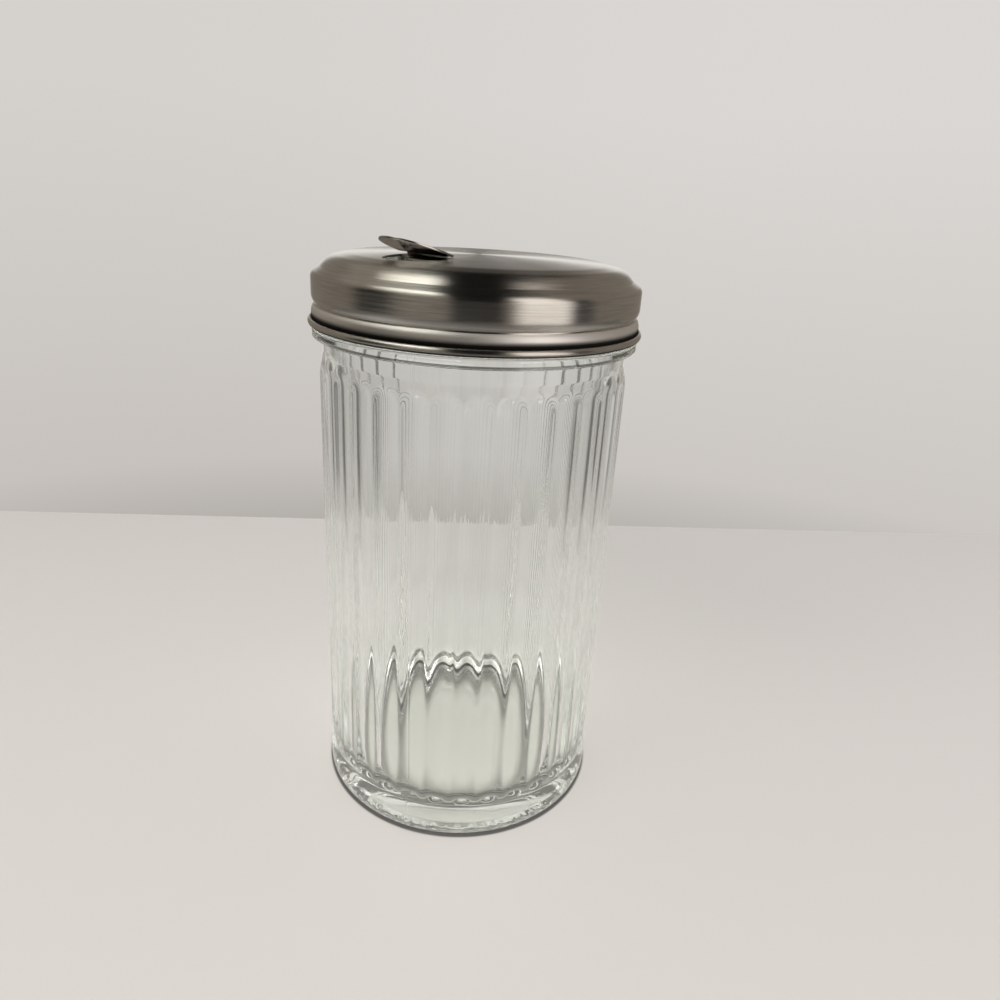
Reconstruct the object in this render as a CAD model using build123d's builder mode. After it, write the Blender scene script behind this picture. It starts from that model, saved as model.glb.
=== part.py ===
"""Glass sugar dispenser with a stamped steel lid and a hinged pour flap.

Frame: +Z up, origin at the centre of the jar's foot on the table, millimetres.
The flap is drawn part open, as it rests; closed and fully open are limits of its hinge.
"""

import os
from math import cos, radians, sin, sqrt

from build123d import *

# ---------------------------------------------------------------- driving dimensions

# Glass jar: outer radii as steps from the widest ridge of the body
body_r = 35.75            # over the ridges, under the shoulder
body_draft = 0.15         # narrower above the foot
waist_inset = 0.45        # shallow waist between body and foot
foot_outset = 0.2         # rounded ring of the foot
band_inset = 0.95         # plain band between flutes and collar
body_wall = 3.45          # from the ridges to the inside
lip_wall = 2.9            # glass at the lip
neck_inset = 0.2          # neck under the snap bead, from the lip's radius
collar_outset = 2.2       # collar ring, from the neck
contact_inset = 4.35      # inner edge of the flat ring that stands on the table
snap_bead_outset = 0.59   # low bead on the neck, from the lip's radius

# Glass jar: heights, each from the one below
foot_height = 4.6
waist_rise = 4.0
body_rise = 4.0           # from the waist to the straight body
body_length = 95.8
shoulder_length = 4.7
band_length = 3.3
collar_under = 0.3        # slight slope of the collar's underside
collar_height = 2.1
collar_slope = 0.8        # from the collar's top in to the neck
floor_height = 6.6        # glass floor over the table
push_up = 2.4             # dome pressed into the underside

# Glass jar: rounded corners
foot_round = 1.8
foot_blend = 2.5
waist_round = 3.0
body_blend = 6.0
shoulder_round = 12.0
band_crease = 0.3
collar_round = 0.4
collar_edge = 0.6
neck_round = 0.5
snap_bead_round = 0.6
lip_round = 1.2
floor_round = 6.0

# Flutes round the body
flute_count = 34
flute_depth = 0.9
flute_cutter_r = 6.2
flute_phase = -3.0        # degrees, a ridge's place counted from the front towards the right
flute_low_inset = 0.4     # centres of the round ends, from the ends of the straight body
flute_high_outset = 0.2

# Lid, one stamped sheet: radii of its middle line as steps
lid_sheet = 0.45
snap_clearance = 0.06     # groove round the bead on the neck
band_step = 0.8           # band, from the groove
bead_step = 0.85          # bead, from the groove
skirt_step = 0.6          # skirt, from the groove
curl_r = 0.55
curl_sweep = 285.0        # degrees
ledge_inset = 0.4         # crease between ledge and shoulder, from the lip's radius
shoulder_width = 1.9      # from that crease to the knee
dome_width = 4.1          # from the knee to the crown
crown_width = 11.3        # gentle slope of the crown, in to where its flats would meet

# Lid: heights of its middle line, each from the one below
curl_gap = 0.3            # curl over the jar's collar
skirt_length = 0.625
bead_edge = 0.7
bead_length = 1.3
groove_half = 1.2         # from the groove's centre to the bead and to the band
lid_band_length = 5.05
ledge_rise = 1.35
shoulder_rise = 2.1
dome_rise = 0.8
crown_rise = 0.575
seat_gap = 0.05           # crease over the glass lip
snap_bead_rise = 1.3      # bead on the neck, over the groove's centre
snap_bead_half = 1.1

# Lid: rounded corners of its middle line
crown_round = 280.0
dome_round = 10.0
knee_round = 5.0
ledge_crease = 0.4
lid_band_round = 1.5
groove_edge = 3.0
groove_round = 0.6
bead_round = 2.2

# Vent hole in the lid's shoulder
vent_r = 1.75
vent_azimuth = 4.0
vent_rise = 1.5           # over the ledge's crease, up the slope of the shoulder
vent_tilt = 45.0          # degrees from upright

# Pour flap and its hinge
flap_azimuth = 230.0      # direction from the axis to the flap's tip
flap_rest_angle = 16.2    # open from the lid's top, as it rests
hinge_reach = 16.3        # from the axis to the pin
pin_r = 0.6
pin_gap = 0.3             # pin below the lid's sheet
pin_head_rise = 0.15      # head round the pin
pin_head_length = 0.35
knuckle_clearance = 0.05  # knuckle round the pin
ear_clearance = 0.02      # ears round the pin
leaf_sheet = 0.4
leaf_gap = 0.06           # closed leaf over the lid's top
leaf_length = 12.8        # from the pin to the tip
leaf_half_width = 7.9
leaf_end = 11.2           # length of the leaf's elliptical end
leaf_corner = 0.35
leaf_shoulder = 0.1       # wide leaf, beyond the joggle
joggle_start = 0.3        # step from the knuckle's top up to the leaf
joggle_length = 0.8
joggle_round = 0.4
root_lap = 0.9            # length of the root strip within the leaf
knuckle_wrap = 290.0      # degrees
hole_margin = 1.35        # leaf over the hole's edge, outer end and sides
hole_inner_gap = 0.45     # knuckle to the hole's inner edge
hole_corner = 0.8
knuckle_side_gap = 0.85   # knuckle's end to the hole's side
ear_gap = 0.5             # hole's side to the ear
ear_thickness = 0.8
ear_rim = 0.7             # metal round the pin in the ear

# ---------------------------------------------------------------- derived sizes

half_sheet = lid_sheet / 2

# Jar
foot_r = body_r + foot_outset
waist_r = body_r - waist_inset
band_r = body_r - band_inset
bore_r = body_r - body_wall
lip_r = bore_r + lip_wall
neck_r = lip_r - neck_inset
collar_r = neck_r + collar_outset
snap_bead_r = lip_r + snap_bead_outset
contact_inner_r = foot_r - contact_inset
waist_height = foot_height + waist_rise
body_start = waist_height + body_rise
shoulder_start = body_start + body_length
band_start = shoulder_start + shoulder_length
collar_start = band_start + band_length
collar_widest = collar_start + collar_under
collar_top = collar_widest + collar_height
neck_start = collar_top + collar_slope
push_up_r = (contact_inner_r**2 + push_up**2) / (2 * push_up)

# Flutes
flute_pitch = 360 / flute_count
flute_axis_r = body_r - flute_depth + flute_cutter_r
flute_low = body_start + flute_low_inset
flute_high = shoulder_start + flute_high_outset
cutter_bevel = flute_cutter_r * sqrt(0.5)
front_azimuth = -90       # the front of the jar looks along -Y

# Lid, middle line of the sheet
groove_r = snap_bead_r + snap_clearance + half_sheet
lid_band_r = groove_r + band_step
bead_r = groove_r + bead_step
skirt_r = groove_r + skirt_step
curl_centre_r = skirt_r + curl_r
ledge_r = lip_r - ledge_inset
knee_r = ledge_r - shoulder_width
dome_r = knee_r - dome_width
crown_r = dome_r - crown_width
curl_height = collar_top + curl_gap + half_sheet + curl_r
skirt_top = curl_height + skirt_length
bead_bottom = skirt_top + bead_edge
bead_top = bead_bottom + bead_length
groove_height = bead_top + groove_half
lid_band_bottom = groove_height + groove_half
lid_band_top = lid_band_bottom + lid_band_length
ledge_height = lid_band_top + ledge_rise
knee_height = ledge_height + shoulder_rise
dome_height = knee_height + dome_rise
top_height = dome_height + crown_rise
lid_top = top_height + half_sheet
lid_underside = top_height - half_sheet
vent_reach = ledge_r - shoulder_width * vent_rise / shoulder_rise
vent_height = ledge_height + vent_rise
lip_height = ledge_height - half_sheet - seat_gap
snap_bead_height = groove_height + snap_bead_rise

# Hinge and flap
pin_height = lid_underside - pin_gap - pin_r
knuckle_r = pin_r + knuckle_clearance + leaf_sheet
knuckle_mid_r = knuckle_r - leaf_sheet / 2
leaf_bottom = lid_top + leaf_gap - pin_height
leaf_mid = leaf_bottom + leaf_sheet / 2
joggle_end = joggle_start + joggle_length
leaf_start = joggle_end + leaf_shoulder
leaf_side_end = leaf_length - leaf_end
hole_inner = hinge_reach - knuckle_r - hole_inner_gap
hole_half_width = leaf_half_width - hole_margin
hole_reach = hinge_reach + leaf_length - hole_margin
hole_side_end = hinge_reach + leaf_side_end
knuckle_half = hole_half_width - knuckle_side_gap
ear_inner = hole_half_width + ear_gap
ear_outer = ear_inner + ear_thickness
ear_half_width = pin_r + ear_rim
ear_drop = top_height - pin_height

# ---------------------------------------------------------------- planes

out_x = cos(radians(flap_azimuth))
out_y = sin(radians(flap_azimuth))
# Flap frames: x runs from the lid's axis towards the flap's tip, z is up
lid_frame = Plane(origin=(0, 0, 0), x_dir=(out_x, out_y, 0), z_dir=(0, 0, 1))
pin_frame = Plane(
    origin=(hinge_reach * out_x, hinge_reach * out_y, pin_height),
    x_dir=(out_x, out_y, 0),
    z_dir=(0, 0, 1),
)
rest_level = cos(radians(flap_rest_angle))
rest_rise = sin(radians(flap_rest_angle))
leaf_frame = Plane(
    origin=pin_frame.origin,
    x_dir=(out_x * rest_level, out_y * rest_level, rest_rise),
    z_dir=(-out_x * rest_rise, -out_y * rest_rise, rest_level),
)
vent_x = cos(radians(vent_azimuth))
vent_y = sin(radians(vent_azimuth))
vent_frame = Plane(
    origin=(vent_reach * vent_x, vent_reach * vent_y, vent_height),
    x_dir=(-vent_y, vent_x, 0),
    z_dir=(
        vent_x * sin(radians(vent_tilt)),
        vent_y * sin(radians(vent_tilt)),
        cos(radians(vent_tilt)),
    ),
)


def side_plane(frame, offset=0.0):
    """Upright plane of a frame: x is the frame's x, y its z, offset to the frame's left."""
    upright = Plane(origin=frame.origin, x_dir=frame.x_dir, z_dir=-frame.y_dir)
    return upright.offset(-offset)


# ---------------------------------------------------------------- glass jar

# One flute's cutter: an upright bar with round ends
with BuildPart() as flute_cutter:
    with BuildSketch(Plane.XZ):
        with BuildLine():
            Line((0, flute_low - flute_cutter_r), (0, flute_high + flute_cutter_r))
            ThreePointArc(
                (0, flute_high + flute_cutter_r),
                (cutter_bevel, flute_high + cutter_bevel),
                (flute_cutter_r, flute_high),
            )
            Line((flute_cutter_r, flute_high), (flute_cutter_r, flute_low))
            ThreePointArc(
                (flute_cutter_r, flute_low),
                (cutter_bevel, flute_low - cutter_bevel),
                (0, flute_low - flute_cutter_r),
            )
        make_face()
    revolve(axis=Axis.Z)

jar_line = [
    # point, radius of its corner
    ((contact_inner_r, 0), 0),
    ((foot_r, 0), foot_round),
    ((foot_r, foot_height), foot_blend),
    ((waist_r, waist_height), waist_round),
    ((body_r - body_draft, body_start), body_blend),
    ((body_r, shoulder_start), shoulder_round),
    ((band_r, band_start), band_crease),
    ((band_r, collar_start), collar_round),
    ((collar_r, collar_widest), collar_round),
    ((collar_r, collar_top), collar_edge),
    ((neck_r, neck_start), neck_round),
    ((neck_r, snap_bead_height - snap_bead_half), neck_round),
    ((snap_bead_r, snap_bead_height), snap_bead_round),
    ((lip_r, snap_bead_height + snap_bead_half), neck_round),
    ((lip_r, lip_height), lip_round),
    ((bore_r, lip_height), lip_round),
    ((bore_r, floor_height), floor_round),
    ((0, floor_height), 0),
]

with BuildPart() as glass_jar:
    with BuildSketch(Plane.XZ):
        with BuildLine():
            FilletPolyline(
                *[point for point, corner in jar_line],
                radius=[corner for point, corner in jar_line][1:-1],
            )
            Line((0, floor_height), (0, push_up))
            RadiusArc((0, push_up), (contact_inner_r, 0), push_up_r)
        make_face()
    revolve(axis=Axis.Z)
    with PolarLocations(flute_axis_r, flute_count, front_azimuth + flute_phase + flute_pitch / 2):
        add(flute_cutter.part, mode=Mode.SUBTRACT)

# ---------------------------------------------------------------- lid shell

# Middle line of the sheet, from the axis outwards and down to the curl
lid_line = [
    # point, radius of its corner
    ((0, top_height), 0),
    ((crown_r, top_height), crown_round),
    ((dome_r, dome_height), dome_round),
    ((knee_r, knee_height), knee_round),
    ((ledge_r, ledge_height), ledge_crease),
    ((lid_band_r, lid_band_top), lid_band_round),
    ((lid_band_r, lid_band_bottom), groove_edge),
    ((groove_r, groove_height), groove_round),
    ((bead_r, bead_top), bead_round),
    ((bead_r, bead_bottom), bead_round),
    ((skirt_r, skirt_top), groove_round),
    ((skirt_r, curl_height), 0),
]

with BuildPart() as lid_shell:
    with BuildSketch(Plane.XZ):
        with BuildLine():
            FilletPolyline(
                *[point for point, corner in lid_line],
                radius=[corner for point, corner in lid_line][1:-1],
            )
            CenterArc((curl_centre_r, curl_height), curl_r, 180, curl_sweep)
        trace(line_width=lid_sheet)
    revolve(axis=Axis.Z)
    # Pour hole: straight sides beside the hinge, an elliptical outer end
    with BuildSketch(lid_frame.offset(top_height)):
        with BuildLine():
            FilletPolyline(
                (hole_side_end, hole_half_width),
                (hole_inner, hole_half_width),
                (hole_inner, -hole_half_width),
                (hole_side_end, -hole_half_width),
                radius=hole_corner,
            )
            EllipticalCenterArc(
                (hole_side_end, 0),
                hole_reach - hole_side_end,
                hole_half_width,
                start_angle=-90,
                arc_size=180,
            )
        make_face()
    extrude(amount=crown_rise + lid_sheet, both=True, mode=Mode.SUBTRACT)
    # Vent hole through the slope of the shoulder
    with BuildSketch(vent_frame):
        Circle(vent_r)
    extrude(amount=vent_r, both=True, mode=Mode.SUBTRACT)
    # Ears folded down beside the pour hole, bored for the pin
    with BuildSketch(side_plane(pin_frame, ear_inner), side_plane(pin_frame, -ear_outer)):
        Circle(ear_half_width)
        with Locations((0, ear_drop / 2)):
            Rectangle(2 * ear_half_width, ear_drop)
        Circle(pin_r + ear_clearance, mode=Mode.SUBTRACT)
    extrude(amount=-ear_thickness)

# ---------------------------------------------------------------- hinge pin

with BuildPart() as hinge_pin:
    with BuildSketch(side_plane(pin_frame)):
        Circle(pin_r)
    extrude(amount=ear_outer, both=True)
    # Peened heads against the outside of the ears
    with BuildSketch(
        side_plane(pin_frame, ear_outer),
        side_plane(pin_frame, -ear_outer - pin_head_length),
    ):
        Circle(pin_r + pin_head_rise)
    extrude(amount=-pin_head_length)

# ---------------------------------------------------------------- pour flap

with BuildPart() as pour_flap:
    # Root strip, rolled round the pin at its inner end
    with BuildSketch(side_plane(leaf_frame)):
        with BuildLine():
            CenterArc((0, 0), knuckle_mid_r, 90, knuckle_wrap)
            FilletPolyline(
                (0, knuckle_mid_r),
                (joggle_start, knuckle_mid_r),
                (joggle_end, leaf_mid),
                (joggle_end + root_lap, leaf_mid),
                radius=joggle_round,
            )
        trace(line_width=leaf_sheet)
    extrude(amount=knuckle_half, both=True)
    # Wide leaf with an elliptical end
    with BuildSketch(leaf_frame.offset(leaf_bottom)):
        with BuildLine():
            FilletPolyline(
                (leaf_side_end, leaf_half_width),
                (leaf_start, leaf_half_width),
                (leaf_start, -leaf_half_width),
                (leaf_side_end, -leaf_half_width),
                radius=leaf_corner,
            )
            EllipticalCenterArc(
                (leaf_side_end, 0), leaf_end, leaf_half_width, start_angle=-90, arc_size=180
            )
        make_face()
    extrude(amount=leaf_sheet)

# ---------------------------------------------------------------- output

os.makedirs("parts", exist_ok=True)

glass_jar.part.label = "glass_jar"
export_step(glass_jar.part, "parts/glass_jar.step")
lid_shell.part.label = "lid_shell"
export_step(lid_shell.part, "parts/lid_shell.step")
hinge_pin.part.label = "hinge_pin"
export_step(hinge_pin.part, "parts/hinge_pin.step")
pour_flap.part.label = "pour_flap"
export_step(pour_flap.part, "parts/pour_flap.step")
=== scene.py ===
"""Glass sugar dispenser with a stamped steel lid and a hinged flap, dressed for rendering.

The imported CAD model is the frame. The jar, the lid with its ears and the flap are rebuilt here as
finer meshes on the CAD's own sizes; the hinge pin keeps its CAD mesh. Sizes are in millimetres
until a mesh is made, then in metres. Angles are in degrees unless a line says otherwise.
"""

import math
import random

import bmesh
import bpy
from mathutils import Matrix, Vector


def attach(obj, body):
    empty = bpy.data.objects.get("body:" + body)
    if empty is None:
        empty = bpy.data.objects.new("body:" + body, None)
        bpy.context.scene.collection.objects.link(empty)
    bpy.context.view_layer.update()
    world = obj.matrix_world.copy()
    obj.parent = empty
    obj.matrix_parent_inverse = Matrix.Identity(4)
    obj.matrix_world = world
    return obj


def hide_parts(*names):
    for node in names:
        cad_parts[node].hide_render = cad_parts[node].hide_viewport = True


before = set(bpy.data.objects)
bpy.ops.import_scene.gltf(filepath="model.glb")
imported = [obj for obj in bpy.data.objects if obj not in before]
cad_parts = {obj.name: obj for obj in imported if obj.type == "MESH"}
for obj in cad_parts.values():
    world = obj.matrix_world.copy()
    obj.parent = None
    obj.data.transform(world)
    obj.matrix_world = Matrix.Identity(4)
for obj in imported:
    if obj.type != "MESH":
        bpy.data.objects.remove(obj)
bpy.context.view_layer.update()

MM = 0.001

# ---------------------------------------------------------------- sizes, as the CAD has them

# Jar
BODY_R = 35.75
BODY_DRAFT = 0.15
FOOT_R = BODY_R + 0.2
WAIST_R = BODY_R - 0.45
BAND_R = BODY_R - 0.95
BORE_R = BODY_R - 3.45
LIP_R = BORE_R + 2.9
NECK_R = LIP_R - 0.2
COLLAR_R = NECK_R + 2.2
SNAP_BEAD_R = LIP_R + 0.59
CONTACT_R = FOOT_R - 4.35
FOOT_HEIGHT = 4.6
WAIST_HEIGHT = FOOT_HEIGHT + 4.0
BODY_START = WAIST_HEIGHT + 4.0
SHOULDER_START = BODY_START + 95.8
BAND_START = SHOULDER_START + 4.7
COLLAR_START = BAND_START + 3.3
COLLAR_WIDEST = COLLAR_START + 0.3
COLLAR_TOP = COLLAR_WIDEST + 2.1
NECK_START = COLLAR_TOP + 0.8
FLOOR_HEIGHT = 6.6
PUSH_UP = 2.4

# Flutes
FLUTES = 34
FLUTE_PHASE = -3.0  # degrees from the front to a ridge, towards the right
FLUTE_CUTTER_R = 6.2
FLUTE_AXIS_R = BODY_R - 0.9 + FLUTE_CUTTER_R
FLUTE_LOW = BODY_START + 0.4
FLUTE_HIGH = SHOULDER_START + 0.2
RIDGE_ROUND = 0.4  # softness of the ridges' tops
FLUTE_STEPS = 12  # mesh columns over one flute

# Mould seams down the jar, which only the rendered mesh has
SEAMS = (-110.0, 70.0)
SEAM_WIDTH = 0.22
SEAM_HEIGHT = 0.05
SEAM_COLUMNS = (-0.6, -0.35, -0.15, 0.0, 0.15, 0.35, 0.6)

# Unevenness of the jar's inside: height, waves round the jar, turn per millimetre of height, phase
WAVES = (
    (0.05, 5, 0.043, 0.0),
    (0.035, 11, -0.11, 1.3),
    (0.018, 23, 0.31, 0.4),
    (0.012, 9, -0.55, 2.1),
)
WAVES_FADE = 8.0  # they run out over this height below the lip's rounding
LIP_CLEAR = 2.0
CONTACT_GRAIN = 0.16  # how far the ring that the jar stands on is roughened

# The jar's mesh: longest edge along the profile, and the heights where it has to be fine
JAR_EDGE, JAR_FINE_EDGE, JAR_FLOOR_EDGE = 3.0, 0.55, 4.0
JAR_FINE = ((-1.0, 1.0), (6.0, 14.5), (106.5, 116.0))
UNDER_RINGS = (0, 8, 14, 19, 23, 26, 28.5, 30.5)  # radii under the push-up

# Lid, middle line of the sheet
LID_SHEET = 0.45
HALF_SHEET = LID_SHEET / 2
CURL_R = 0.55
CURL_SWEEP = 285.0
GROOVE_R = SNAP_BEAD_R + 0.06 + HALF_SHEET
LID_BAND_R = GROOVE_R + 0.8
BEAD_R = GROOVE_R + 0.85
SKIRT_R = GROOVE_R + 0.6
LEDGE_R = LIP_R - 0.4
SHOULDER_WIDTH = 1.9
KNEE_R = LEDGE_R - SHOULDER_WIDTH
DOME_R = KNEE_R - 4.1
CROWN_R = DOME_R - 11.3
CURL_HEIGHT = COLLAR_TOP + 0.3 + HALF_SHEET + CURL_R
SKIRT_TOP = CURL_HEIGHT + 0.625
BEAD_BOTTOM = SKIRT_TOP + 0.7
BEAD_TOP = BEAD_BOTTOM + 1.3
GROOVE_HEIGHT = BEAD_TOP + 1.2
LID_BAND_BOTTOM = GROOVE_HEIGHT + 1.2
LID_BAND_TOP = LID_BAND_BOTTOM + 5.05
LEDGE_HEIGHT = LID_BAND_TOP + 1.35
SHOULDER_RISE = 2.1
KNEE_HEIGHT = LEDGE_HEIGHT + SHOULDER_RISE
DOME_HEIGHT = KNEE_HEIGHT + 0.8
TOP_HEIGHT = DOME_HEIGHT + 0.575
LID_TOP = TOP_HEIGHT + HALF_SHEET
LIP_HEIGHT = LEDGE_HEIGHT - HALF_SHEET - 0.05
SNAP_BEAD_HEIGHT = GROOVE_HEIGHT + 1.3
SNAP_BEAD_HALF = 1.1

# The lid's mesh
LID_COLUMNS = 288
LID_EDGE, LID_FINE_EDGE = 2.5, 0.9  # longest edges along the profile: top, and from the dome out
CURL_STEPS = 30
CUT_REACH = 2.0  # how far each cutter passes the sheet on either side

# Vent hole
VENT_R = 1.75
VENT_AZIMUTH = 4.0
VENT_TILT = 45.0
VENT_RISE = 1.5
VENT_HEIGHT = LEDGE_HEIGHT + VENT_RISE
VENT_REACH = LEDGE_R - SHOULDER_WIDTH * VENT_RISE / SHOULDER_RISE

# Pour hole, ears and flap
FLAP_AZIMUTH = 230.0
HINGE_REACH = 16.3
PIN_R = 0.6
PIN_HEIGHT = TOP_HEIGHT - HALF_SHEET - 0.3 - PIN_R
LEAF_LENGTH = 12.8
LEAF_END = 11.2
LEAF_HALF_WIDTH = 7.9
HOLE_MARGIN = 1.35
HOLE_INNER = 14.8
HOLE_HALF_WIDTH = LEAF_HALF_WIDTH - HOLE_MARGIN
HOLE_REACH = HINGE_REACH + LEAF_LENGTH - HOLE_MARGIN
HOLE_SIDE_END = HINGE_REACH + LEAF_LENGTH - LEAF_END
HOLE_CORNER = 0.8
EAR_INNER = HOLE_HALF_WIDTH + 0.5
EAR_THICKNESS = 0.8
EAR_HALF_WIDTH = PIN_R + 0.7
EAR_BORE_R = PIN_R + 0.02
REST_ANGLE = 16.2
LEAF_SHEET = 0.4
LEAF_BOTTOM = LID_TOP + 0.06 - PIN_HEIGHT
LEAF_START = 1.2
LEAF_CORNER = 0.35
KNUCKLE_MID_R = PIN_R + 0.05 + LEAF_SHEET / 2
KNUCKLE_HALF = HOLE_HALF_WIDTH - 0.85
KNUCKLE_WRAP = 290.0
JOGGLE_START = 0.3
JOGGLE_END = 1.1
JOGGLE_ROUND = 0.4
ROOT_END = JOGGLE_END + 0.9
# Height up to which the flap's underside is painted dark as shade
UNDERSIDE_SHADE_HEIGHT = PIN_HEIGHT + 0.6 * LEAF_LENGTH * math.sin(math.radians(REST_ANGLE))

# Edges sharper than this are shaded as edges, in radians
LID_SHARP = math.radians(40)
FLAP_SHARP = math.radians(50)


# ---------------------------------------------------------------- shape helpers


def rounded(corners, step=9.0):
    """Points of a line through ((x, y), radius) corners, each rounded by an arc of that radius."""
    points = [Vector(corners[0][0])]
    for (before, _), (corner, radius), (after, _) in zip(corners, corners[1:], corners[2:]):
        corner = Vector(corner)
        back = (Vector(before) - corner).normalized()
        ahead = (Vector(after) - corner).normalized()
        half = back.angle(ahead) / 2
        if radius == 0 or math.isclose(half, math.pi / 2):
            points.append(corner)
            continue
        centre = corner + (back + ahead).normalized() * radius / math.sin(half)
        start = corner + back * radius / math.tan(half) - centre
        turn = math.pi - 2 * half
        if start.x * (ahead.y - back.y) - start.y * (ahead.x - back.x) < 0:
            turn = -turn
        count = max(2, math.ceil(abs(math.degrees(turn)) / step))
        for i in range(count + 1):
            points.append(centre + Matrix.Rotation(turn * i / count, 2) @ start)
    points.append(Vector(corners[-1][0]))
    return points


def refined(points, longest):
    """The same line with every stretch cut into pieces no longer than longest(middle point)."""
    fine = [points[0]]
    for a, b in zip(points, points[1:]):
        count = max(1, math.ceil((b - a).length / longest((a + b) / 2)))
        fine += [a.lerp(b, (i + 1) / count) for i in range(count)]
    return fine


def offset_line(points, distance):
    """The line moved sideways by a distance, to the left of its direction."""
    moved = []
    for i, point in enumerate(points):
        along = points[min(i + 1, len(points) - 1)] - points[max(i - 1, 0)]
        along.normalize()
        moved.append(point + Vector((-along.y, along.x)) * distance)
    return moved


def half_ellipse(centre, reach, half_width, steps):
    """Points of an ellipse's outer half, without its ends, from its right end to its left one."""
    points = []
    for i in range(1, steps):
        a = -math.pi / 2 + math.pi * i / steps
        points.append(Vector((centre + reach * math.cos(a), half_width * math.sin(a))))
    return points


def add_object(name, data):
    """A new object in the scene."""
    thing = bpy.data.objects.new(name, data)
    bpy.context.scene.collection.objects.link(thing)
    return thing


def mesh_from(name, bm):
    """A mesh in metres from a bmesh in millimetres, which is freed."""
    mesh = bpy.data.meshes.new(name)
    bm.to_mesh(mesh)
    bm.free()
    mesh.transform(Matrix.Scale(MM, 4))
    return mesh


def new_piece(name, bm, body, slot, *replaced):
    """A mesh object from a bmesh in millimetres, smooth, riding on a body."""
    bmesh.ops.recalc_face_normals(bm, faces=bm.faces[:])
    mesh = mesh_from(name, bm)
    mesh.polygons.foreach_set("use_smooth", [True] * len(mesh.polygons))
    piece = add_object(name, mesh)
    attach(piece, body)
    if replaced:
        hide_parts(*replaced)
    return piece


def lathe(rows, angles, place):
    """A bmesh of rings: row i at angle j lies at place(i, j). Rows on the axis are one point."""
    bm = bmesh.new()
    rings = []
    for i, row in enumerate(rows):
        if row.x < 1e-6:
            rings.append([bm.verts.new((0, 0, row.y))])
        else:
            rings.append([bm.verts.new(place(i, j)) for j in range(len(angles))])
    count = len(angles)
    for low, high in zip(rings, rings[1:]):
        for j in range(count):
            k = (j + 1) % count
            corners = [low[j % len(low)], low[k % len(low)], high[k % len(high)], high[j % len(high)]]
            distinct = list(dict.fromkeys(corners))
            bm.faces.new(distinct)
    return bm


# ---------------------------------------------------------------- glass jar


def flute_angles():
    """Azimuths round the jar in radians, closer together at the ridges and at the two seams."""
    pitch = 360 / FLUTES
    angles = []
    for flute in range(FLUTES):
        middle = -90 + FLUTE_PHASE + pitch * (flute + 0.5)
        for i in range(FLUTE_STEPS):
            t = 2 * i / FLUTE_STEPS - 1
            angles.append(middle + pitch / 2 * (0.5 * t + 0.5 * math.sin(math.pi / 2 * t)))
    for seam in SEAMS:
        angles += [seam + shift for shift in SEAM_COLUMNS]
    return [math.radians(a) for a in sorted(a % 360 for a in angles)]


def flute_radius(radius, z, angle):
    """The jar's outer radius at a height and azimuth, given the radius of its plain profile."""
    beyond = max(FLUTE_LOW - z, z - FLUTE_HIGH, 0)
    if beyond >= FLUTE_CUTTER_R:
        return radius
    pitch = 2 * math.pi / FLUTES
    ridge = math.radians(-90 + FLUTE_PHASE)
    off = (angle - ridge) % pitch - pitch / 2
    reach = FLUTE_CUTTER_R**2 - beyond**2 - (FLUTE_AXIS_R * math.sin(off)) ** 2
    if reach <= 0:
        return radius
    floor = FLUTE_AXIS_R * math.cos(off) - math.sqrt(reach)
    blend = min(1, max(0, 0.5 + 0.5 * (floor - radius) / RIDGE_ROUND))
    return floor * (1 - blend) + radius * blend - RIDGE_ROUND * blend * (1 - blend)


def seam_rise(angle):
    """Height of the two mould seams at an azimuth."""
    rise = 0
    for seam in SEAMS:
        away = (math.degrees(angle) - seam + 180) % 360 - 180
        rise += SEAM_HEIGHT * math.exp(-((away / SEAM_WIDTH) ** 2))
    return rise


def wobble(z, angle):
    """Unevenness of the inside wall, which no mould presses smooth."""
    return sum(
        size * math.sin(count * angle + turn * z + phase) for size, count, turn, phase in WAVES
    )


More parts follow.
